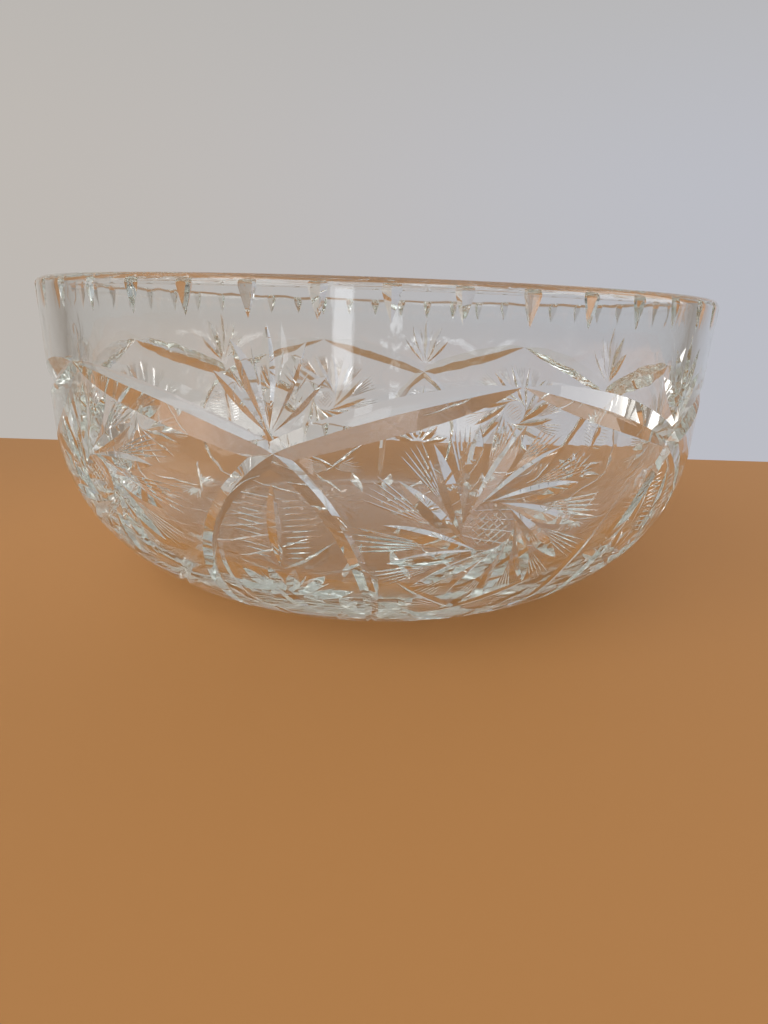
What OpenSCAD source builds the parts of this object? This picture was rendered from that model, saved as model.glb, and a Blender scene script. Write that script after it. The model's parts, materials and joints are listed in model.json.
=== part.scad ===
// Cut crystal serving bowl: one piece of clear glass, turned to a smooth blank and then cut
// outside with mitre wheels. Millimetres, +Z up, origin at the centre of the base on the table.
// Places on the outer wall are given by a turn in degrees from the front (-Y), and by a drop in
// millimetres from the rim, measured along the wall.

/* [Bowl] */
// Outside diameter at the rim
rim_d = 225; // [200:1:250]
// Height from the table to the rim
height = 97; // [92:1:110]
// Diameter of the flat base
base_d = 136; // [120:1:150]
// Height of the straight part of the wall below the rim
straight_wall = 43; // [40:1:46]
// Lean of the straight wall, inwards on the way down
wall_lean = 0.6; // [0.2:0.1:2]
// Thickness of the wall
wall = 7; // [6:0.5:9]
// Thickness of the glass under the floor
floor_thickness = 10; // [8:0.5:14]
// Rounding of the lip, inside and outside
lip_r = 2.5; // [1:0.25:2.5]

/* [Rim notches] */
// Number of notches around the rim
rim_notches = 48; // [36:6:54]
// Height of a notch from the top of the rim to its point
notch_h = 8.5; // [5:0.5:10]
// Depth of a notch at the top of the rim
notch_depth = 2.7; // [1.2:0.1:2.8]
// Angle of the wheel that cuts the notches
notch_angle = 75; // [70:5:100]

/* [Arches] */
// Number of arches around the bowl
arches = 6; // [5:1:7]
// Drop from the rim to the points of the arches
peak_drop = 21; // [19:0.5:24]
// Drop from the rim to the crossings between the arches
crossing_drop = 39; // [36:0.5:42]
// Depth of the broad cut that makes the arm of an arch
arm_depth = 2.8; // [1.5:0.1:3]
// Depth of the narrower cut from a crossing to the base
leg_depth = 1.8; // [0.8:0.1:2]
// Depth of the narrower cut at its top, in the tail of the arm
leg_top_depth = 0.3; // [0.2:0.05:0.4]
// Distance up the wall from the base edge to the foot of a leg
leg_foot_gap = 10; // [6:1:18]
// Distance between the feet of the two legs below a crossing
leg_spread = 32; // [26:1:38]
// Distance between the two legs at the middle of their height
leg_belly = 40; // [34:1:44]
// Angle of the wheel that cuts arms and legs
arch_angle = 100; // [96:2:126]
// Lean of the wheel in an arm, which leaves its upper flank broader than its lower one
arm_lean = 8; // [0:1:10]

/* [Pinwheels] */
// Drop from the rim to the hub of a pinwheel
hub_drop = 54; // [50:0.5:56]
// Radius of the hub circle that the blades touch
hub_r = 6.5; // [6:0.5:9]
// Length left uncut between the hub circle and the root of a blade
blade_start = 4; // [3.5:0.5:8]
// Radius of the pinwheel to the blade tips
pinwheel_r = 25; // [21:0.5:26]
// Number of blades of a pinwheel
blades = 14; // [10:1:15]
// Turn of the whole pinwheel about its hub, in degrees
blade_phase = 8; // [0:1:25]
// Depth of a blade at its middle
blade_depth = 1.4; // [0.8:0.05:1.6]
// Angle of the wheel that cuts blades, fans, spears, half stars and crosses
blade_angle = 110; // [80:5:115]

/* [Fans] */
// Number of cuts in the fan above a crossing
fan_cuts = 5; // [3:2:7]
// Angle of the outer cuts of a fan from the upright
fan_spread = 42; // [30:1:50]
// Distance from a crossing to the root of its fan
fan_root = 5; // [4:0.5:8]
// Length of the upright cut of a fan
fan_long = 24.5; // [18:0.5:25]
// Length of the outer cuts of a fan
fan_short = 19; // [12:0.5:20]
// Depth of a fan cut at its middle
fan_depth = 1.3; // [0.8:0.05:1.6]
// Length of the spear below a crossing
spear_len = 22; // [16:1:30]
// Distance from a crossing to the top of its spear
spear_gap = 5; // [5:0.5:10]

/* [Half stars] */
// Drop from the rim to the middle of the half star below a spear
half_star_drop = 80; // [78:0.5:84]
// Number of cuts in a half star
half_star_cuts = 6; // [4:2:6]
// Angle of the outer cuts of a half star from the upright
half_star_spread = 71; // [66:1:74]
// Distance from the middle of a half star to the roots of its cuts
half_star_root = 5; // [4.5:0.5:6]
// Distance from the middle of a half star to the points of its inner cuts
half_star_short = 12.5; // [10:0.5:12.5]
// Distance from the middle of a half star to the points of its outer cuts
half_star_long = 18; // [14:0.5:18]
// Depth of a half star's cut at its middle
half_star_depth = 1.3; // [0.8:0.1:1.4]

/* [Foot crosses] */
// Drop from the rim to the middle of the cross below a pinwheel
cross_drop = 101; // [98:0.5:102]
// Angle of the cuts of a cross from the level
cross_tilt = 42; // [38:1:45]
// Length of a cross's cut above the middle
cross_up = 28; // [20:1:30]
// Length of a cross's cut below the middle
cross_down = 9; // [6:0.5:9]
// Depth of a cross's cut at its middle
cross_depth = 0.9; // [0.6:0.1:1.2]

/* [Base star] */
// Number of rays in the star under the base
star_rays = 24; // [12:6:24]
// Radius of the uncut middle of the star
star_middle = 32; // [26:1:40]
// Depth of a ray where it runs out over the edge of the base
ray_depth = 1.6; // [1:0.1:2]
// Angle of the wheel that cuts the rays
ray_angle = 120; // [100:5:130]

/* [Hidden] */
$fn = 120;

// Straight part of the wall, from the rim down to where the round part starts
rim_r = rim_d / 2;
wall_len = straight_wall / cos(wall_lean);
bend = [rim_r - straight_wall * tan(wall_lean), height - straight_wall];
inward = [-cos(wall_lean), sin(wall_lean)];

// Round part of the wall: one arc, tangent to the straight wall, that ends at the base edge
base_edge = [base_d / 2, 0];
to_edge = base_edge - bend;
arc_r = (to_edge * to_edge) / (2 * (to_edge * inward));
arc_c = bend + arc_r * inward;
arc_len = (asin(arc_c.y / arc_r) - wall_lean) * PI / 180 * arc_r;

// Inside: a wall parallel to the outside and one arc that runs into the flat floor
inner_arc_r = arc_c.y - floor_thickness;
inner_bend = bend + wall * inward;
inner_arc_c = [inner_bend.x - inner_arc_r * cos(wall_lean), arc_c.y];

// Lip: where its two roundings meet the walls and the flat top
lip_drop = lip_r * (1 + sin(wall_lean)) / cos(wall_lean);
inner_lip_drop = lip_r * (1 - sin(wall_lean)) / cos(wall_lean);
inner_rim_r = rim_r - wall / cos(wall_lean);

// Clearance by which a cutter stands out of the glass, and the least bow of a cutter's edge
clear = 0.4;
least_bow = 0.05;

// Angles between repeats, and the shape of an arch: its arm runs past the crossing by a share
// of its length, and the leg starts within that tail
arch_pitch = 360 / arches;
half_pitch = arch_pitch / 2;
arm_overrun = 0.14;
leg_overlap = 0.3;
leg_foot_drop = wall_len + arc_len - leg_foot_gap;
leg_belly_drop = (crossing_drop + leg_foot_drop) / 2;

// Rise of a ray's edge per millimetre outwards, and how far past the base edge its cutter runs
ray_rise = ray_depth / (base_d / 2 - star_middle);
ray_run = 12;

function unit(v) = v / norm(v);

// Outer wall at a drop from the rim: how far its face looks down, and its [radius, height]
function wall_face(drop) = drop <= wall_len
    ? wall_lean
    : wall_lean + (drop - wall_len) / arc_r * 180 / PI;
function wall_section(drop) = drop <= wall_len
    ? [rim_r - drop * sin(wall_lean), height - drop * cos(wall_lean)]
    : arc_c + arc_r * [cos(wall_face(drop)), -sin(wall_face(drop))];

// Directions at a turn, and a point at a depth under the outer wall
function spoke(turn) = [sin(turn), -cos(turn), 0];
function wall_normal(turn, drop) =
    cos(wall_face(drop)) * spoke(turn) - [0, 0, sin(wall_face(drop))];
function on_wall(turn, drop, depth = 0) =
    let (p = wall_section(drop))
    p.x * spoke(turn) + [0, 0, p.y] - depth * wall_normal(turn, drop);

// Turn that lies a distance along the wall's circle at a drop
function turn_of(distance, drop) = distance / wall_section(drop).x * 180 / PI;

// Place [turn, drop] that lies [sideways, down] in millimetres from another place
function beside(place, step) =
    let (drop = place.y + step.y)
    [place.x + turn_of(step.x, drop), drop];

// Cut of a mitre wheel: its edge is an arc from a to b that passes through deep, which lies
// under the glass. The arc's plane holds toward, and the V opens along out, to above the glass.
module mitre_cut(a, b, deep, toward, out, angle, tall) {
    chord = b - a;
    along = unit(chord);
    up = unit(toward - (toward * along) * along);
    edge_bow = (deep - (a + b) / 2) * up;
    side = edge_bow < 0 ? -1 : 1;
    bow = max(abs(edge_bow), least_bow);
    edge_r = (chord * chord / 4 + bow * bow) / (2 * bow);
    centre = (a + b) / 2 + side * (bow - edge_r) * up;
    half_turn = asin((norm(chord) / 2) / edge_r) + clear / edge_r * 180 / PI;
    spin = side * up;
    axis = cross(spin, along);
    cant = atan2(out * axis, out * spin);
    flank = tall / cos(angle / 2);
    multmatrix([
        [spin.x, along.x, axis.x, centre.x],
        [spin.y, along.y, axis.y, centre.y],
        [spin.z, along.z, axis.z, centre.z],
        [0, 0, 0, 1]
    ])
        rotate([0, 0, -half_turn])
        rotate_extrude(angle = 2 * half_turn)
        polygon([
            [edge_r, 0],
            [edge_r, 0] + flank * [cos(cant - angle / 2), sin(cant - angle / 2)],
            [edge_r, 0] + flank * [cos(cant + angle / 2), sin(cant + angle / 2)]
        ]);
}

// Lens-shaped cut on the wall between two places, each [turn, drop]. The wheel may lean to the
// left of the way from one to the other.
module wall_cut(from, to, depth, angle, lean = 0) {
    middle = (from + to) / 2;
    normal = wall_normal(middle.x, middle.y);
    a = on_wall(from.x, from.y);
    b = on_wall(to.x, to.y);
    left = unit(cross(normal, b - a));
    mitre_cut(
        a,
        b,
        on_wall(middle.x, middle.y, depth),
        normal,
        cos(lean) * normal + sin(lean) * left,
        angle,
        (depth + clear) * cos(angle / 2) / cos(angle / 2 + abs(lean))
    );
}

// Half section of the blank's outside, from the axis to the wall
module outer_section() {
    lip_at = wall_section(lip_drop);
    lip_c = lip_at + lip_r * inward;
    intersection() {
        union() {
            polygon([
                [0, 0],
                base_edge,
                arc_c,
                bend,
                lip_at,
                [lip_c.x, height],
                [0, height]
            ]);
            translate(arc_c) circle(arc_r);
            translate(lip_c) circle(lip_r);
        }
        square([rim_r, height]);
    }
}

// Half section of the hollow, with the lip rounded at its mouth
module inner_section() {
    mouth = [inner_rim_r, height];
    lip_at = mouth - inner_lip_drop * [sin(wall_lean), cos(wall_lean)];
    lip_c = lip_at - lip_r * inward;
    difference() {
        union() {
            polygon([
                [0, floor_thickness],
                [inner_arc_c.x, floor_thickness],
                inner_arc_c,
                inner_arc_c - inner_arc_r * inward,
                lip_at,
                [lip_c.x, lip_at.y],
                [lip_c.x, height + clear],
                [0, height + clear]
            ]);
            intersection() {
                translate(inner_arc_c) circle(inner_arc_r);
                square([rim_r, arc_c.y]);
            }
        }
        translate(lip_c) circle(lip_r);
    }
}

// Smooth blank, as it comes to the cutter
module blank() {
    rotate_extrude()
    difference() {
        outer_section();
        inner_section();
    }
}

// Straight cut of a mitre wheel: its edge runs from a point on the glass through deep, which
// lies under the glass, and on past it. The V opens along out, to above the glass.
module straight_cut(point, deep, out, angle, tall, past) {
    run = unit(deep - point);
    up = unit(out - (out * run) * run);
    axis = cross(up, run);
    half_width = tall * tan(angle / 2);
    multmatrix([
        [axis.x, up.x, run.x, point.x],
        [axis.y, up.y, run.y, point.y],
        [axis.z, up.z, run.z, point.z],
        [0, 0, 0, 1]
    ])
        translate([0, 0, -clear])
        linear_extrude(norm(deep - point) + clear + past)
        polygon([[0, 0], [half_width, tall], [-half_width, tall]]);
}

// One rim notch: a V that is deepest at the top of the rim and comes to a point below
module rim_notch(turn) {
    tall = notch_depth + clear;
    straight_cut(
        on_wall(turn, notch_h),
        on_wall(turn, 0, notch_depth),
        wall_normal(turn, 0),
        notch_angle,
        tall,
        tall
    );
}

// One side of an arch: the broad arm from the point past the crossing, and the leg below it
module arch_side(turn, way) {
    peak = [0, peak_drop];
    crossing = [half_pitch, crossing_drop];
    tail = arm_overrun * (crossing - peak);
    arm_end = crossing + tail;
    leg_top = arm_end - leg_overlap * tail;
    wall_cut(
        [turn + way * peak.x, peak.y],
        [turn + way * arm_end.x, arm_end.y],
        arm_depth,
        arch_angle,
        way * arm_lean
    );
    belly_turn = turn + way * (half_pitch + turn_of(leg_belly / 2, leg_belly_drop));
    foot_turn = turn + way * (half_pitch + turn_of(leg_spread / 2, leg_foot_drop));
    top = on_wall(turn + way * leg_top.x, leg_top.y, leg_top_depth);
    foot = on_wall(foot_turn, leg_foot_drop);
    belly = on_wall(belly_turn, leg_belly_drop, leg_depth);
    mitre_cut(
        top,
        foot,
        belly,
        belly - (top + foot) / 2,
        wall_normal(belly_turn, leg_belly_drop),
        arch_angle,
        leg_depth + clear
    );
}

// Pinwheel: straight blades that touch the hub circle and sweep round to the right
module pinwheel(turn) {
    hub = [turn, hub_drop];
    blade_len = sqrt(pinwheel_r * pinwheel_r - hub_r * hub_r);
    for (i = [0 : blades - 1]) {
        a = i * 360 / blades - blade_phase;
        touch = hub_r * [sin(a), -cos(a)];
        heading = [cos(a), sin(a)];
        root = touch + blade_start * heading;
        tip = touch + blade_len * heading;
        wall_cut(beside(hub, root), beside(hub, tip), blade_depth, blade_angle);
    }
}

// Fan above a crossing, and the upright spear below it
module fan_and_spear(turn) {
    crossing = [turn, crossing_drop];
    fan_foot = beside(crossing, [0, -fan_root]);
    for (i = [0 : fan_cuts - 1]) {
        share = 2 * i / (fan_cuts - 1) - 1;
        heading = [sin(share * fan_spread), -cos(share * fan_spread)];
        length = fan_long + (fan_short - fan_long) * abs(share);
        wall_cut(
            beside(fan_foot, fan_root * heading),
            beside(fan_foot, length * heading),
            fan_depth,
            blade_angle
        );
    }
    spear_top = beside(crossing, [0, spear_gap]);
    spear_tip = beside(spear_top, [0, spear_len]);
    wall_cut(spear_top, spear_tip, blade_depth, blade_angle);
}

// Half star below a spear: pointed cuts that spread upwards from one place
module half_star(turn) {
    middle = [turn, half_star_drop];
    for (i = [0 : half_star_cuts - 1]) {
        share = 2 * i / (half_star_cuts - 1) - 1;
        heading = [sin(share * half_star_spread), -cos(share * half_star_spread)];
        reach = half_star_short + (half_star_long - half_star_short) * abs(share);
        wall_cut(
            beside(middle, half_star_root * heading),
            beside(middle, reach * heading),
            half_star_depth,
            blade_angle
        );
    }
}

// Cross at the foot of the wall, below a pinwheel: two cuts that pass through one place
module foot_cross(turn) {
    middle = [turn, cross_drop];
    for (way = [-1, 1]) {
        heading = [way * cos(cross_tilt), -sin(cross_tilt)];
        wall_cut(
            beside(middle, -cross_down * heading),
            beside(middle, cross_up * heading),
            cross_depth,
            blade_angle
        );
    }
}

// Star under the base: straight rays that deepen outwards and run out over the base edge
module base_star() {
    below = [0, 0, -1];
    for (i = [0 : star_rays - 1]) {
        ray = spoke((i + 0.5) * 360 / star_rays);
        straight_cut(
            star_middle * ray,
            base_d / 2 * ray - ray_depth * below,
            below,
            ray_angle,
            ray_depth + ray_run * ray_rise + clear,
            ray_run
        );
    }
}

// Blank with the arches, which the cutter marks out and cuts first
module arched_blank() {
    difference() {
        blank();
        for (i = [0 : arches - 1]) arch_side(i * arch_pitch, 1);
        for (i = [0 : arches - 1]) arch_side(i * arch_pitch, -1);
    }
}

module bowl() {
    color([0.86, 0.9, 0.92, 0.6])
    difference() {
        arched_blank();
        for (i = [0 : rim_notches - 1]) rim_notch(i * 360 / rim_notches);
        for (i = [0 : arches - 1]) pinwheel(i * arch_pitch);
        for (i = [0 : arches - 1]) fan_and_spear((i + 0.5) * arch_pitch);
        for (i = [0 : arches - 1]) half_star((i + 0.5) * arch_pitch);
        for (i = [0 : arches - 1]) foot_cross(i * arch_pitch);
        base_star();
    }
}

bowl();
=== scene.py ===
"""Looks of the cut crystal serving bowl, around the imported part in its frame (metres, +Z up)."""

import json
import math

import bpy
import numpy as np
from mathutils import Matrix, Vector

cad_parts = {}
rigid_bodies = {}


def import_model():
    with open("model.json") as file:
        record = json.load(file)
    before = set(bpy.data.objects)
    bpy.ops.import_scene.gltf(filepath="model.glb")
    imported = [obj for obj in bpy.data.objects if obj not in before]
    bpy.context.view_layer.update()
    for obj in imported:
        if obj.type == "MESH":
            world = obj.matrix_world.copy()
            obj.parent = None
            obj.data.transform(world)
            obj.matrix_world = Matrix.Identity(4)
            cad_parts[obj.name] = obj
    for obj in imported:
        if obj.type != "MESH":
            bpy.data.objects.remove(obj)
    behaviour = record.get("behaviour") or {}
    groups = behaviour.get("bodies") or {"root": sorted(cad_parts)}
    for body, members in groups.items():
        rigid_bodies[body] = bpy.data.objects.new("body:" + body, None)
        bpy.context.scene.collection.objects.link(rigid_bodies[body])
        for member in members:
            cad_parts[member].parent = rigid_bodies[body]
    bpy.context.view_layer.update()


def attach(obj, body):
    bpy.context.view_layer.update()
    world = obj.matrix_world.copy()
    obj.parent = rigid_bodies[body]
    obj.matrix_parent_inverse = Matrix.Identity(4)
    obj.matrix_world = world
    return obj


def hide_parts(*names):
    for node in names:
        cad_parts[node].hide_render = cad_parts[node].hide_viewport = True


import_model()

scene = bpy.context.scene

MM = 0.001

# Blank, in millimetres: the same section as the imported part
RIM_R = 112.5
HEIGHT = 97.0
BASE_R = 68.0
STRAIGHT = 43.0
LEAN = math.radians(0.6)
WALL = 7.0
FLOOR = 10.0
LIP_R = 2.5

INWARD = np.array([-math.cos(LEAN), math.sin(LEAN)])
BEND = np.array([RIM_R - STRAIGHT * math.tan(LEAN), HEIGHT - STRAIGHT])
WALL_LEN = STRAIGHT / math.cos(LEAN)
TO_EDGE = np.array([BASE_R, 0.0]) - BEND
ARC_R = TO_EDGE @ TO_EDGE / (2 * TO_EDGE @ INWARD)
ARC_C = BEND + ARC_R * INWARD
ARC_END = math.asin(ARC_C[1] / ARC_R)
WALL_END = WALL_LEN + (ARC_END - LEAN) * ARC_R
INNER_ARC_R = ARC_C[1] - FLOOR
INNER_BEND = BEND + WALL * INWARD
INNER_ARC_C = np.array([INNER_BEND[0] - INNER_ARC_R * math.cos(LEAN), ARC_C[1]])


def wall_face(drop):
    """How far the outer wall's face looks down, at a drop from the rim along the wall."""
    return LEAN + np.maximum(np.asarray(drop, float) - WALL_LEN, 0.0) / ARC_R


def wall_section(drop):
    """Radius and height of the outer wall at a drop from the rim."""
    drop = np.asarray(drop, float)
    face = wall_face(drop)
    straight = drop <= WALL_LEN
    r = np.where(straight, RIM_R - drop * math.sin(LEAN), ARC_C[0] + ARC_R * np.cos(face))
    z = np.where(straight, HEIGHT - drop * math.cos(LEAN), ARC_C[1] - ARC_R * np.sin(face))
    return r, z


def on_wall(turn, drop):
    """Points on the outer wall and its normals there. Turns are radians from -Y, towards +X."""
    r, z = wall_section(drop)
    face = wall_face(drop)
    s, c = np.sin(turn), np.cos(turn)
    points = np.stack([r * s, -r * c, z], -1)
    normals = np.stack([np.cos(face) * s, -np.cos(face) * c, -np.sin(face)], -1)
    return points, normals


def drop_at(z):
    """Drop from the rim of the outer wall's point at a height."""
    if z >= BEND[1]:
        return (HEIGHT - z) / math.cos(LEAN)
    return WALL_LEN + (math.asin((ARC_C[1] - z) / ARC_R) - LEAN) * ARC_R


def beside(turn, drop, x, y):
    """Turns and drops of the places x to the right of and y above a place, along the wall."""
    drops = drop - np.asarray(y, float)
    return turn + np.asarray(x, float) / wall_section(drops)[0], drops


# Blank: the zones of its surface, and its section
ZONE_BASE, ZONE_OUTER, ZONE_LIP_OUT, ZONE_TOP, ZONE_LIP_IN, ZONE_INNER, ZONE_FLOOR = range(7)
FIRST_CUT = 8  # face ids from here on belong to the cuts' flanks
SEGMENTS = 360
RING_STEP = 2.6
FLAT_RINGS, LIP_RINGS, INNER_WALL_RINGS, INNER_ARC_RINGS = 12, 9, 18, 30
AXIS_R = 1e-9  # a point closer than this lies on the axis

LIP_DROP = LIP_R * (1 + math.sin(LEAN)) / math.cos(LEAN)
LIP_OUT_C = np.array(wall_section(LIP_DROP)).ravel() + LIP_R * INWARD
MOUTH = np.array([RIM_R - WALL / math.cos(LEAN), HEIGHT])
LIP_IN_DROP = LIP_R * (1 - math.sin(LEAN)) / math.cos(LEAN)
LIP_IN_AT = MOUTH - LIP_IN_DROP * np.array([math.sin(LEAN), math.cos(LEAN)])
LIP_IN_C = LIP_IN_AT - LIP_R * INWARD


def arc_points(centre, radius, start, end, count):
    """Points of an arc in the section plane, angles in radians."""
    angles = np.linspace(start, end, count)
    return centre + radius * np.stack([np.cos(angles), np.sin(angles)], -1)


def blank_section():
    """Half section of the blank, from the base's centre round to the floor's centre.

    Gives its points, and the zone of each step between them.
    """
    base_r = np.linspace(0, BASE_R, FLAT_RINGS)
    outer_drops = np.linspace(WALL_END, LIP_DROP, round(WALL_END / RING_STEP))
    floor_r = np.linspace(INNER_ARC_C[0], 0, FLAT_RINGS)
    parts = [
        (ZONE_BASE, np.stack([base_r, np.zeros(FLAT_RINGS)], -1)),
        (ZONE_OUTER, np.stack(wall_section(outer_drops), -1)),
        (ZONE_LIP_OUT, arc_points(LIP_OUT_C, LIP_R, -LEAN, math.pi / 2, LIP_RINGS)),
        (ZONE_TOP, np.array([[LIP_OUT_C[0], HEIGHT], [LIP_IN_C[0], HEIGHT]])),
        (ZONE_LIP_IN, arc_points(LIP_IN_C, LIP_R, math.pi / 2, math.pi - LEAN, LIP_RINGS)),
        (ZONE_INNER, np.concatenate([
            np.linspace(LIP_IN_AT, INNER_BEND, INNER_WALL_RINGS),
            arc_points(INNER_ARC_C, INNER_ARC_R, -LEAN, -math.pi / 2, INNER_ARC_RINGS)[1:],
        ])),
        (ZONE_FLOOR, np.stack([floor_r, np.full(FLAT_RINGS, FLOOR)], -1)),
    ]
    points, zones = [parts[0][1][0]], []
    for zone, line in parts:
        points.extend(line[1:])
        zones.extend([zone] * (len(line) - 1))
    return np.array(points), zones


def blank_normal(zone, p):
    """Normal of the blank at points p (n x 3) of one zone."""
    r = np.maximum(np.hypot(p[:, 0], p[:, 1]), AXIS_R)
    z = p[:, 2]
    if zone == ZONE_BASE:
        nr, nz = np.zeros_like(r), -np.ones_like(r)
    elif zone in (ZONE_TOP, ZONE_FLOOR):
        nr, nz = np.zeros_like(r), np.ones_like(r)
    elif zone == ZONE_OUTER:
        face = np.where(z >= BEND[1], LEAN, np.arctan2(ARC_C[1] - z, r - ARC_C[0]))
        nr, nz = np.cos(face), -np.sin(face)
    elif zone == ZONE_INNER:
        on_arc = np.arctan2(INNER_ARC_C[1] - z, r - INNER_ARC_C[0])
        face = np.where(z >= INNER_BEND[1], LEAN, on_arc)
        nr, nz = -np.cos(face), np.sin(face)
    else:
        centre = LIP_OUT_C if zone == ZONE_LIP_OUT else LIP_IN_C
        nr, nz = (r - centre[0]) / LIP_R, (z - centre[1]) / LIP_R
    n = np.stack([nr * p[:, 0] / r, nr * p[:, 1] / r, nz], -1)
    return n / np.linalg.norm(n, axis=1, keepdims=True)


def mesh_of(name, verts, faces, ids):
    """Mesh with an id per face, carried in its material index."""
    mesh = bpy.data.meshes.new(name)
    mesh.from_pydata((np.asarray(verts) * MM).tolist(), [], faces)
    mesh.polygons.foreach_set("material_index", np.asarray(ids, np.int32))
    mesh.update()
    return mesh


def blank_mesh():
    """Smooth blank: the section turned about Z."""
    section, zones = blank_section()
    turns = np.linspace(0, 2 * math.pi, SEGMENTS, endpoint=False)
    verts, rings = [], []
    for r, z in section:
        if r < AXIS_R:
            rings.append([len(verts)])
            verts.append((0.0, 0.0, z))
        else:
            rings.append(list(range(len(verts), len(verts) + SEGMENTS)))
            verts.extend(zip(r * np.sin(turns), -r * np.cos(turns), np.full(SEGMENTS, z)))
    faces, ids = [], []
    for k, zone in enumerate(zones):
        a, b = rings[k], rings[k + 1]
        for i in range(SEGMENTS):
            j = (i + 1) % SEGMENTS
            if len(a) == 1:
                faces.append((a[0], b[j], b[i]))
            elif len(b) == 1:
                faces.append((a[i], a[j], b[0]))
            else:
                faces.append((a[i], a[j], b[j], b[i]))
            ids.append(zone)
    return mesh_of("blank", verts, faces, ids)


# Cutters, collected here and taken out of the blank together
CLEAR = 0.35  # how far a cutter stands out of the glass
SHALLOWEST = -0.55 * CLEAR  # keeps a cutter's edge under its top where the cut has run out
OVERRUN = 0.04  # share of a cut's length by which its cutter runs on past both points
BLADE_STATIONS, WEDGE_STATIONS, FINE_STATIONS = 14, 12, 8
DEGREE_LEN = 1.9  # about the wall's length for a degree of turn
cutters = []


def sweep(points, normals, depths, angle, lean=0.0):
    """A V cutter along a path on the glass, with its edge at the depths given.

    Seen from outside, a lean above 0 makes the flank on the path's left the broader one.
    """
    depths = np.maximum(np.asarray(depths, float), SHALLOWEST)[:, None]
    along = np.gradient(points, axis=0)
    along -= (along * normals).sum(1, keepdims=True) * normals
    side = np.cross(normals, along)
    side /= np.linalg.norm(side, axis=1, keepdims=True)
    right_half = (depths + CLEAR) * np.tan(angle / 2 - lean)
    left_half = (depths + CLEAR) * np.tan(angle / 2 + lean)
    edge = points - normals * depths
    top = points + normals * CLEAR
    verts = np.stack([edge, top - side * right_half, top + side * left_half], 1).reshape(-1, 3)
    right_id = FIRST_CUT + 2 * len(cutters)
    left_id = right_id + 1
    faces, ids = [], []
    for i in range(len(points) - 1):
        e0, r0, l0, e1, r1, l1 = range(3 * i, 3 * i + 6)
        faces += [(e0, r1, r0), (e0, e1, r1), (e0, l1, e1), (e0, l0, l1)]
        ids += [right_id, right_id, left_id, left_id]
        faces += [(r0, l1, l0), (r0, r1, l1)]
        ids += [right_id, right_id]
    last = 3 * (len(points) - 1)
    faces += [(0, 1, 2), (last, last + 2, last + 1)]
    ids += [right_id, right_id]
    cutters.append(mesh_of("cut", verts, faces, ids))


def wall_sweep(turns, drops, depths, angle, lean=0.0):
    """A V cutter along places on the outer wall."""
    points, normals = on_wall(np.asarray(turns, float), np.asarray(drops, float))
    sweep(points, normals, depths, angle, lean)


def lens_cut(turn, drop, start, end, depth, angle, belly=0.5, stations=BLADE_STATIONS, lean=0.0):
    """Straight cut, pointed at both ends, between places in mm beside (turn, drop) on the wall.

    The belly is the share of its length at which it is deepest.
    """
    t = np.linspace(-OVERRUN, 1 + OVERRUN, stations)
    warp = math.log(0.5) / math.log(belly)
    u = np.sign(t) * np.abs(t) ** warp
    x = start[0] + (end[0] - start[0]) * t
    y = start[1] + (end[1] - start[1]) * t
    turns, drops = beside(turn, drop, x, y)
    wall_sweep(turns, drops, depth * (1 - (2 * u - 1) ** 2), angle, lean)


def fine_line(turn, drop, start, end, depth, belly=0.5):
    """Fine straight cut on the wall, pointed at both ends."""
    lens_cut(turn, drop, start, end, depth, FINE_V, belly, FINE_STATIONS)


def heading(angle, way=1):
    """Direction on the wall at an angle up from the right, or from the left where way is -1."""
    return np.array([way * math.cos(angle), math.sin(angle)])


def from_upright(degrees, way):
    """Direction on the wall at an angle from the upright, to the left where way is -1."""
    angle = math.radians(degrees)
    return np.array([way * math.sin(angle), math.cos(angle)])


def left_of(direction):
    """Direction on the wall, a quarter turn to the left of another."""
    return np.array([-direction[1], direction[0]])


def smooth_through(knots, count):
    """Smooth curve through rows of turn in degrees, drop and depth, in even steps along chords."""
    knots = np.asarray(knots, float)
    step = np.linalg.norm(np.diff(knots[:, :2] * [DEGREE_LEN, 1.0], axis=0), axis=1)
    s = np.concatenate([[0], np.cumsum(step)])
    slope = np.empty_like(knots)
    slope[1:-1] = (knots[2:] - knots[:-2]) / (s[2:] - s[:-2])[:, None]
    slope[0] = (knots[1] - knots[0]) / (s[1] - s[0])
    slope[-1] = (knots[-1] - knots[-2]) / (s[-1] - s[-2])
    q = np.linspace(0, s[-1], count)
    k = np.clip(np.searchsorted(s, q, "right") - 1, 0, len(s) - 2)
    h = (s[k + 1] - s[k])[:, None]
    t = ((q - s[k]) / (s[k + 1] - s[k]))[:, None]
    return (
        (1 + 2 * t) * (1 - t) ** 2 * knots[k]
        + t * (1 - t) ** 2 * h * slope[k]
        + t * t * (3 - 2 * t) * knots[k + 1]
        + t * t * (t - 1) * h * slope[k + 1]
    )


REPEATS = 6
PITCH = 2 * math.pi / REPEATS

# V angles of the cutting wheels
MITRE_V = math.radians(116)
BLADE_V = math.radians(114)
FINE_V = math.radians(90)

# Rim notches: pointed darts on the wall, deepest just under the rim, which stop below the lip's
# crown
NOTCHES = 48
NOTCH_V = math.radians(84)
NOTCH_CUT = [  # drop, depth from the wall's face
    (9.3, -0.19),
    (8.8, 0.0),
    (6.6, 0.9),
    (4.4, 1.7),
    (2.6, 2.3),
    (1.3, 2.4),
    (1.0, 0.3),
]
notch_drops, notch_depths = np.array(NOTCH_CUT).T
for i in range(NOTCHES):
    turn = 2 * math.pi * i / NOTCHES
    wall_sweep(np.full(len(notch_drops), turn), notch_drops, notch_depths, NOTCH_V)

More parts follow.
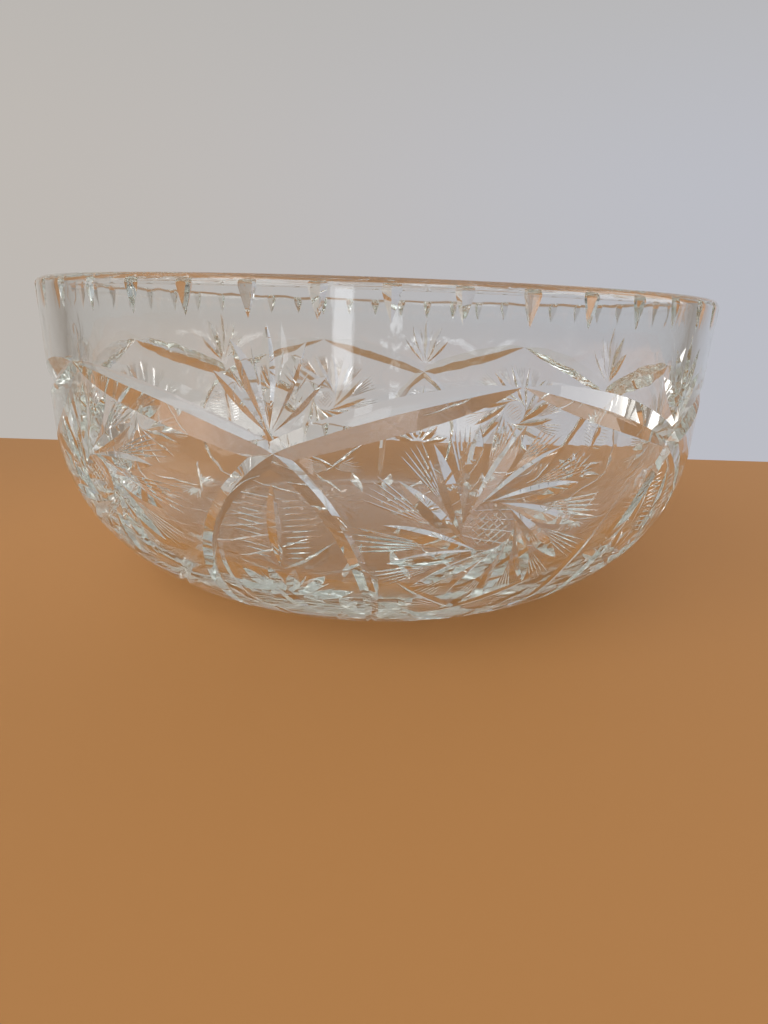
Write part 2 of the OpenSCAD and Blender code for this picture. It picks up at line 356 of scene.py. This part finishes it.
# Arches: each side is one broad groove from the point through the crossing, then a narrower leg to
# the base. The imported solid lacks them, so only this script makes them.
CROSSING_AT = 30.0  # degrees from the point
CROSSING_DROP = 37.3
ARCH_SIDE = [  # turn from the point in degrees, drop, depth
    (-0.5, 20.8, -0.2),
    (4.0, 22.6, 1.3),
    (9.0, 24.8, 2.1),
    (16.0, 28.1, 2.5),
    (24.0, 32.8, 2.2),
    (CROSSING_AT, CROSSING_DROP, 1.65),
    (34.2, drop_at(53.0), 1.35),
    (36.8, drop_at(46.5), 1.3),
    (38.9, drop_at(39.0), 1.25),
    (40.6, drop_at(30.0), 1.2),
    (41.7, drop_at(21.0), 1.15),
    (42.0, drop_at(10.0), 1.0),
    (42.0, drop_at(4.0), 0.5),
    (42.0, drop_at(1.6), -0.2),
]
ARCH_STATIONS = 72
# Shift of the crossing after each arch, as cut by hand
CROSSING_TURN = np.radians([-0.6, 0.4, -0.3, 0.5, -0.4, 2.0])
side_turn, side_drop, side_depth = smooth_through(ARCH_SIDE, ARCH_STATIONS).T
side_share = np.clip(side_turn / CROSSING_AT, 0.0, 1.0)
for i in range(REPEATS):
    for way, shift in ((1, CROSSING_TURN[i]), (-1, CROSSING_TURN[i - 1])):
        turns = i * PITCH + way * np.radians(side_turn) + shift * side_share
        wall_sweep(turns, side_drop, side_depth, MITRE_V)
crossings = [(i + 0.5) * PITCH + CROSSING_TURN[i] for i in range(REPEATS)]

# Pinwheels under the arches: blades that touch the hub circle, fine feathers between them, and
# crossed fine lines on the hub
# Listed for each pinwheel: shift of the hub in degrees, its drop, turn of the blades in degrees
PINWHEELS = [
    (-2.3, 53.2, 8),
    (-0.4, 54.0, 5),
    (0.6, 54.5, 12),
    (-0.3, 54.0, 8),
    (0.5, 53.5, 3),
    (3.6, 50.5, 2),
]
HUB_R = 6.6
BLADES = 14
TIP_R = 24.8
BLADE_BACK = 0.5  # how far a blade starts before the place where it touches the hub circle
BLADE_DEPTH = 1.4
BLADE_BELLY = 0.56
FEATHERS = (0.14, 0.32, 0.5, 0.68, 0.86)  # their turn, in steps from one blade to the next
FEATHER_REACH = np.array([32.0, 24.8])  # half axes of the outline that they fill, across and up
FEATHER_ALONG, FEATHER_BESIDE = 8.5, 1.3  # where they spread from, beside a blade
FEATHER_START = 2.2
FEATHER_DEPTH = 0.32
DOWNWARD = -0.35  # feathers that head further down than this are shallower
DOWNWARD_DEPTH = 0.17
FEATHER_BELLY = 0.55
HATCH_R = HUB_R - 1.2
HATCH_OFFSETS = np.arange(-4.5, 4.6, 1.5)
HATCH_DEPTH = 0.16
blade_end = math.sqrt(TIP_R ** 2 - HUB_R ** 2)


def feather_reach(root, direction):
    """How far it is from a root to the outline that the feathers fill."""
    q, f = root / FEATHER_REACH, direction / FEATHER_REACH
    return (-q @ f + math.sqrt((q @ f) ** 2 - (f @ f) * (q @ q - 1))) / (f @ f)


for i, (hub_shift, hub_drop, phase) in enumerate(PINWHEELS):
    hub = i * PITCH + math.radians(hub_shift)
    for k in range(BLADES):
        a = 2 * math.pi * k / BLADES + math.radians(phase)
        blade = heading(a)
        touch = HUB_R * left_of(blade)
        start, end = touch - BLADE_BACK * blade, touch + blade_end * blade
        lens_cut(hub, hub_drop, start, end, BLADE_DEPTH, BLADE_V, BLADE_BELLY)
        root = touch + FEATHER_ALONG * blade + FEATHER_BESIDE * left_of(blade)
        for share in FEATHERS:
            fine = heading(a + share * 2 * math.pi / BLADES)
            start, end = root + FEATHER_START * fine, root + feather_reach(root, fine) * fine
            depth = FEATHER_DEPTH if fine[1] > DOWNWARD else DOWNWARD_DEPTH
            fine_line(hub, hub_drop, start, end, depth, FEATHER_BELLY)
    for slant in (math.pi / 4, -math.pi / 4):
        d = heading(slant)
        n = left_of(d)
        for off in HATCH_OFFSETS:
            half = math.sqrt(HATCH_R ** 2 - off ** 2)
            fine_line(hub, hub_drop, off * n - half * d, off * n + half * d, HATCH_DEPTH)

# Fans above the crossings, with fine lines between their cuts
FAN_ROOT_DROP = 33.0
FAN_LEAN = math.radians(12)  # the cuts' upper flanks are the broader ones
FAN_TIPS = [(-12.7, 19.7), (-8.4, 13.0), (0.0, 9.4), (8.4, 13.0), (12.7, 19.7)]  # across, drop
FAN_START = 0.06  # share of the way from root to tip
FAN_DEPTH = 1.1
FAN_LINE_START, FAN_LINE_END = 0.38, 0.86  # shares of the way from root to tip
FAN_LINE_DEPTH = 0.3
fan_tips = [np.array([x, FAN_ROOT_DROP - drop]) for x, drop in FAN_TIPS]
for turn in crossings:
    for tip in fan_tips:
        start, lean = FAN_START * tip, np.sign(tip[0]) * FAN_LEAN
        lens_cut(turn, FAN_ROOT_DROP, start, tip, FAN_DEPTH, BLADE_V, BLADE_BELLY, lean=lean)
    for a, b in zip(fan_tips, fan_tips[1:]):
        middle = (a + b) / 2
        start, end = FAN_LINE_START * middle, FAN_LINE_END * middle
        fine_line(turn, FAN_ROOT_DROP, start, end, FAN_LINE_DEPTH)

# Below the crossings: an upright spear with fine barbs
SPEAR_TOP, SPEAR_TIP = 43.5, 66.0
SPEAR_DEPTH = 1.15
BARBS = 11
BARB_STEP = 1.55
BARB_TOP = 4.5  # from the spear's top to the first pair
BARB_START = 2.0
BARB_LEN, BARB_SWELL, BARB_WAVER = 4.2, 4.6, 0.9
BARB_LIFT, BARB_RISE = 0.2, 0.16  # height of the inner end, and rise for its length
BARB_DEPTH = 0.2
BARB_BELLY = 0.42


def barb_reach(k):
    """Length of a pair of barbs: longer in the middle of the spear, and a little uneven."""
    swell = math.sin(math.pi * (k + 0.8) / (BARBS + 0.6))
    return BARB_LEN + BARB_SWELL * swell + BARB_WAVER * math.sin(2.4 * k)


for turn in crossings:
    lens_cut(turn, SPEAR_TOP, (0, 0), (0, SPEAR_TOP - SPEAR_TIP), SPEAR_DEPTH, BLADE_V)
    for k in range(BARBS):
        drop = SPEAR_TOP + BARB_TOP + BARB_STEP * k
        reach = barb_reach(k)
        for way in (-1, 1):
            start = (way * BARB_START, BARB_LIFT)
            end = (way * (BARB_START + reach), BARB_LIFT + BARB_RISE * reach)
            fine_line(turn, drop, start, end, BARB_DEPTH, BARB_BELLY)

# Half stars inside the loops, below the spears: wedges and fine lines either side of the upright
STAR_DROP = 80.0
WEDGE_BELLY = 0.45
STAR_WEDGES = [  # degrees from the upright, start, end, depth
    (14.2, 3.6, 13.6, 1.2),
    (42.6, 3.6, 15.8, 1.4),
    (71.0, 3.6, 18.0, 1.5),
]
STAR_LINES = [  # degrees from the upright, start, end
    (28.0, 5.0, 13.0),
    (52.0, 6.0, 14.5),
    (61.0, 6.0, 14.5),
    (81.0, 6.0, 15.0),
]
STAR_LINE_DEPTH = 0.3
for turn in crossings:
    for way in (-1, 1):
        for angle, start, end, depth in STAR_WEDGES:
            d = from_upright(angle, way)
            lens_cut(
                turn, STAR_DROP, start * d, end * d,
                depth, BLADE_V, WEDGE_BELLY, WEDGE_STATIONS,
            )
        for angle, start, end in STAR_LINES:
            d = from_upright(angle, way)
            fine_line(turn, STAR_DROP, start * d, end * d, STAR_LINE_DEPTH)

# Crosses at the foot below the pinwheels, with shallower cuts fanned out to both sides
CROSS_DROP = 101.0
CROSS_TILT = math.radians(42)
CROSS_BACK, CROSS_END = 9.0, 29.0
CROSS_DEPTH = 1.15
CROSS_LINES = np.radians([-32, -25, -18, -11, -4, 3, 10, 17, 24, 32])
CROSS_LINE_START = 3.0
CROSS_LINE_ENDS = (15.0, 17.0)  # in turn
CROSS_LINE_DEPTH = 0.5
for i in range(REPEATS):
    turn = i * PITCH
    for way in (-1, 1):
        d = heading(CROSS_TILT, way)
        lens_cut(turn, CROSS_DROP, -CROSS_BACK * d, CROSS_END * d, CROSS_DEPTH, BLADE_V)
        for k, tilt in enumerate(CROSS_LINES):
            d = heading(tilt, way)
            start, end = CROSS_LINE_START * d, CROSS_LINE_ENDS[k % 2] * d
            lens_cut(
                turn, CROSS_DROP, start, end,
                CROSS_LINE_DEPTH, BLADE_V, WEDGE_BELLY, FINE_STATIONS,
            )

# Rays under the base, which run out over its edge to a point on the wall's foot
RAYS = 24
RAY_START = 34.0
RAY_WRAP = 11.0
RAY_DEPTH = 1.35
RAY_WARP = 1.5  # above 1, the deepest place lies beyond the middle
RAY_END_DEPTH = -0.15
RAY_V = math.radians(124)
UNDER_STEPS, WRAP_STEPS = 16, 12
ray_len = BASE_R - RAY_START
ray_flat = np.linspace(RAY_START, BASE_R, UNDER_STEPS)[:-1]
ray_wrap = np.linspace(0, RAY_WRAP, WRAP_STEPS)
ray_share = np.concatenate([ray_flat - RAY_START, ray_len + ray_wrap]) / (ray_len + RAY_WRAP)
ray_depths = RAY_DEPTH * (1 - (2 * ray_share ** RAY_WARP - 1) ** 2)
ray_depths[[0, -1]] = RAY_END_DEPTH
for i in range(RAYS):
    turn = 2 * math.pi * (i + 0.5) / RAYS
    out = np.array([math.sin(turn), -math.cos(turn), 0.0])
    points, normals = on_wall(np.full(WRAP_STEPS, turn), WALL_END - ray_wrap)
    points = np.concatenate([ray_flat[:, None] * out, points])
    normals = np.concatenate([np.tile([0.0, 0.0, -1.0], (UNDER_STEPS - 1, 1)), normals])
    sweep(points, normals, ray_depths, RAY_V)


def cut_bowl():
    """The blank with every cutter taken out of it."""
    body = bpy.data.objects.new("bowl_glass", blank_mesh())
    scene.collection.objects.link(body)
    tools = bpy.data.collections.new("cutters")
    scene.collection.children.link(tools)
    for mesh in cutters:
        tools.objects.link(bpy.data.objects.new("cutter", mesh))
    cut = body.modifiers.new("cut", "BOOLEAN")
    cut.operation = "DIFFERENCE"
    cut.operand_type = "COLLECTION"
    cut.collection = tools
    cut.solver = "MANIFOLD"
    cut.material_mode = "INDEX"
    bpy.context.view_layer.update()
    depsgraph = bpy.context.evaluated_depsgraph_get()
    done = bpy.data.meshes.new_from_object(body.evaluated_get(depsgraph))
    body.modifiers.clear()
    plain = body.data
    body.data = done
    bpy.data.meshes.remove(plain)
    for o in list(tools.objects):
        bpy.data.objects.remove(o)
    bpy.data.collections.remove(tools)
    for mesh in cutters:
        bpy.data.meshes.remove(mesh)
    return body


def read_ints(items, field):
    """One whole number for each of a mesh's items."""
    values = np.empty(len(items), np.int32)
    items.foreach_get(field, values)
    return values


def read_vectors(items, field):
    """One vector for each of a mesh's items."""
    values = np.empty(len(items) * 3, np.float32)
    items.foreach_get(field, values)
    return values.reshape(-1, 3)


def smooth_glass(mesh):
    """Crisp edges between cuts, and the true round of the blank between them."""
    count = len(mesh.polygons)
    ids = read_ints(mesh.polygons, "material_index")
    loop_id = np.repeat(ids, read_ints(mesh.polygons, "loop_total"))
    edge_of = read_ints(mesh.loops, "edge_index")
    vert_of = read_ints(mesh.loops, "vertex_index")
    low = np.full(len(mesh.edges), ids.max() + 1)
    high = np.full(len(mesh.edges), -1)
    np.minimum.at(low, edge_of, loop_id)
    np.maximum.at(high, edge_of, loop_id)
    mesh.polygons.foreach_set("use_smooth", np.ones(count, bool))
    mesh.edges.foreach_set("use_edge_sharp", low != high)
    mesh.update()
    normals = read_vectors(mesh.corner_normals, "vector")
    co = read_vectors(mesh.vertices, "co")[vert_of] / MM
    for zone in range(FIRST_CUT):
        picked = loop_id == zone
        if picked.any():
            normals[picked] = blank_normal(zone, co[picked].astype(float))
    mesh.polygons.foreach_set("material_index", np.zeros(count, np.int32))
    mesh.normals_split_custom_set(normals.tolist())
    mesh.update()


bowl = cut_bowl()
smooth_glass(bowl.data)


def crystal_material():
    """Clear polished crystal: faint wheel marks and polish haze in its roughness and bump."""
    mat = bpy.data.materials.new("crystal")
    mat.use_nodes = True
    nodes, links = mat.node_tree.nodes, mat.node_tree.links
    shader = nodes["Principled BSDF"]
    shader.inputs["Base Color"].default_value = (0.985, 0.992, 0.99, 1)
    shader.inputs["Transmission Weight"].default_value = 1.0
    shader.inputs["IOR"].default_value = 1.545
    place = nodes.new("ShaderNodeTexCoord")
    haze = nodes.new("ShaderNodeTexNoise")
    haze.inputs["Scale"].default_value = 38.0
    haze.inputs["Detail"].default_value = 4.0
    links.new(place.outputs["Object"], haze.inputs["Vector"])
    spread = nodes.new("ShaderNodeMapRange")
    spread.inputs["From Min"].default_value = 0.35
    spread.inputs["From Max"].default_value = 0.75
    spread.inputs["To Min"].default_value = 0.0
    spread.inputs["To Max"].default_value = 0.045
    links.new(haze.outputs["Fac"], spread.inputs["Value"])
    links.new(spread.outputs["Result"], shader.inputs["Roughness"])
    ripple = nodes.new("ShaderNodeTexNoise")
    ripple.inputs["Scale"].default_value = 95.0
    ripple.inputs["Detail"].default_value = 2.0
    links.new(place.outputs["Object"], ripple.inputs["Vector"])
    bump = nodes.new("ShaderNodeBump")
    bump.inputs["Strength"].default_value = 0.06
    bump.inputs["Distance"].default_value = 0.0008
    links.new(ripple.outputs["Fac"], bump.inputs["Height"])
    links.new(bump.outputs["Normal"], shader.inputs["Normal"])
    tint = nodes.new("ShaderNodeVolumeAbsorption")
    tint.inputs["Color"].default_value = (0.86, 0.895, 0.875, 1)
    tint.inputs["Density"].default_value = 9.0
    links.new(tint.outputs["Volume"], nodes["Material Output"].inputs["Volume"])
    return mat


bowl.data.materials.clear()
bowl.data.materials.append(crystal_material())
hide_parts("bowl")
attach(bowl, "root")

# Set: directions as the camera sees them, in metres from here on
TURN = math.radians(-16.2)
AWAY = (-math.sin(TURN), math.cos(TURN), 0.0)
RIGHT = (math.cos(TURN), math.sin(TURN), 0.0)
UP = (0.0, 0.0, 1.0)

# Floor: ends behind the bowl as the table does, and lies just under the base
FLOOR_WARM = (0.54, 0.255, 0.085, 1)
FLOOR_EDGE = 0.175
FLOOR_SIZE = 3.0
FLOOR_GAP = 0.0001


def floor_material():
    """Plain warm floor: the table's colour shows all through the glass."""
    mat = bpy.data.materials.new("floor")
    mat.use_nodes = True
    shader = mat.node_tree.nodes["Principled BSDF"]
    shader.inputs["Base Color"].default_value = FLOOR_WARM
    shader.inputs["Roughness"].default_value = 0.6
    shader.inputs["Specular IOR Level"].default_value = 0.25
    return mat


across, back = FLOOR_SIZE * np.array(RIGHT), np.array(AWAY)
near, far = -FLOOR_SIZE * back, FLOOR_EDGE * back
floor_corners = [near - across, near + across, far + across, far - across]
floor_mesh = bpy.data.meshes.new("floor")
floor_mesh.from_pydata(floor_corners, [], [(0, 1, 2, 3)])
floor = bpy.data.objects.new("floor", floor_mesh)
floor.location.z = -FLOOR_GAP
scene.collection.objects.link(floor)
floor_mesh.materials.append(floor_material())

# Camera: the photograph's place, turn and roll
PHOTO_H = 1024
FOCAL_PX = 607.9
SENSOR = 36.0
CLIP_START = 0.005
CAMERA_AT = (0.0, -2.132, -0.061)  # from the rim's centre, in rim radii
YAW, PITCH_DOWN, ROLL = 0.018, 0.316, 0.035
camera = bpy.data.objects.new("camera", bpy.data.cameras.new("camera"))
scene.collection.objects.link(camera)
camera.data.sensor_width = SENSOR
camera.data.lens = SENSOR * FOCAL_PX / PHOTO_H
camera.data.clip_start = CLIP_START
level = math.cos(PITCH_DOWN)
forward = Vector((math.sin(YAW) * level, math.cos(YAW) * level, -math.sin(PITCH_DOWN)))
right = Vector((math.cos(YAW), -math.sin(YAW), 0))
up = right.cross(forward)
right_rolled = math.cos(ROLL) * right + math.sin(ROLL) * up
up_rolled = -math.sin(ROLL) * right + math.cos(ROLL) * up
facing = Matrix((right_rolled, up_rolled, -forward)).transposed()
spot = Vector(CAMERA_AT) * RIM_R * MM + Vector((0, 0, HEIGHT * MM))
stand = Matrix.LocRotScale(spot, facing.to_quaternion(), None)
camera.matrix_world = Matrix.Rotation(TURN, 4, "Z") @ stand
scene.camera = camera

# World: colours, and the parts of a direction between which they blend
WORLD_LEFT = (0.52, 0.485, 0.45, 1)
WORLD_RIGHT = (0.50, 0.51, 0.56, 1)
WORLD_TOP = (0.46, 0.45, 0.43, 1)
WORLD_ROOM = (0.27, 0.235, 0.20, 1)
WORLD_BELOW = (0.33, 0.205, 0.115, 1)
LEFT_TO_RIGHT = (-0.6, 0.6)
ROOM_TO_BACKDROP = (0.4, 0.82)
BACKDROP_TO_TOP = (0.15, 0.6)
BELOW_TO_BACKDROP = (-0.42, -0.24)
MIX_FIRST, MIX_SECOND, MIX_RESULT = 6, 7, 2  # a mix node's colour sockets


def share_along(nodes, links, direction, axis, bounds):
    """Smooth share from 0 to 1, as a direction's part along an axis goes from bound to bound."""
    dot = nodes.new("ShaderNodeVectorMath")
    dot.operation = "DOT_PRODUCT"
    dot.inputs[1].default_value = axis
    links.new(direction, dot.inputs[0])
    share = nodes.new("ShaderNodeMapRange")
    share.interpolation_type = "SMOOTHSTEP"
    share.inputs["From Min"].default_value = bounds[0]
    share.inputs["From Max"].default_value = bounds[1]
    links.new(dot.outputs["Value"], share.inputs["Value"])
    return share.outputs["Result"]


def blend(nodes, links, share, first, second):
    """Blend of two colours, each either a constant or the output of a node."""
    mix = nodes.new("ShaderNodeMix")
    mix.data_type = "RGBA"
    links.new(share, mix.inputs["Factor"])
    for socket, colour in ((MIX_FIRST, first), (MIX_SECOND, second)):
        if isinstance(colour, tuple):
            mix.inputs[socket].default_value = colour
        else:
            links.new(colour, mix.inputs[socket])
    return mix.outputs[MIX_RESULT]


def studio_world():
    """Pale backdrop behind the bowl, warmer on the left, and a darker room round the camera.

    Above it is a little darker, and below the floor's edge it is brown.
    """
    world = bpy.data.worlds.new("studio")
    world.use_nodes = True
    scene.world = world
    nodes, links = world.node_tree.nodes, world.node_tree.links
    direction = nodes.new("ShaderNodeTexCoord").outputs["Generated"]
    share = share_along(nodes, links, direction, RIGHT, LEFT_TO_RIGHT)
    colour = blend(nodes, links, share, WORLD_LEFT, WORLD_RIGHT)
    share = share_along(nodes, links, direction, AWAY, ROOM_TO_BACKDROP)
    colour = blend(nodes, links, share, WORLD_ROOM, colour)
    share = share_along(nodes, links, direction, UP, BACKDROP_TO_TOP)
    colour = blend(nodes, links, share, colour, WORLD_TOP)
    share = share_along(nodes, links, direction, UP, BELOW_TO_BACKDROP)
    colour = blend(nodes, links, share, WORLD_BELOW, colour)
    links.new(colour, nodes["Background"].inputs["Color"])


studio_world()

# Lamps: a window, a strip on the camera's side, and a fill. The fill casts no shadow, because
# with one the table under the bowl renders darker and greyer than in the photograph.
LAMP_TARGET = Vector((0, 0, 0.05))
STRIP_RIGHT, STRIP_AWAY, STRIP_Z = -0.094, -0.554, 0.16


def soft_light(name, place, size, power, colour, shadow=True):
    """Rectangular soft lamp that looks at the bowl."""
    lamp = bpy.data.lights.new(name, "AREA")
    lamp.shape = "RECTANGLE"
    lamp.size, lamp.size_y = size
    lamp.energy = power
    lamp.color = colour
    lamp.use_shadow = shadow
    o = bpy.data.objects.new(name, lamp)
    o.location = place
    o.rotation_mode = "QUATERNION"
    o.rotation_quaternion = (LAMP_TARGET - Vector(place)).to_track_quat("-Z", "Y")
    scene.collection.objects.link(o)


soft_light(
    "window",
    place=(-1.3, -0.9, 1.2),
    size=(1.5, 1.7),
    power=15.0,
    colour=(0.93, 0.96, 1.0),
)
soft_light(
    "strip",
    place=(
        STRIP_RIGHT * RIGHT[0] + STRIP_AWAY * AWAY[0],
        STRIP_RIGHT * RIGHT[1] + STRIP_AWAY * AWAY[1],
        STRIP_Z,
    ),
    size=(0.055, 0.31),
    power=0.14,
    colour=(0.90, 0.95, 1.0),
)
soft_light(
    "fill",
    place=(1.5, -0.6, 0.9),
    size=(1.4, 1.4),
    power=11.0,
    colour=(1.0, 0.98, 0.95),
    shadow=False,
)

BOUNCES = 48
scene.view_settings.view_transform = "Standard"
scene.cycles.max_bounces = BOUNCES
scene.cycles.glossy_bounces = BOUNCES
scene.cycles.transmission_bounces = BOUNCES
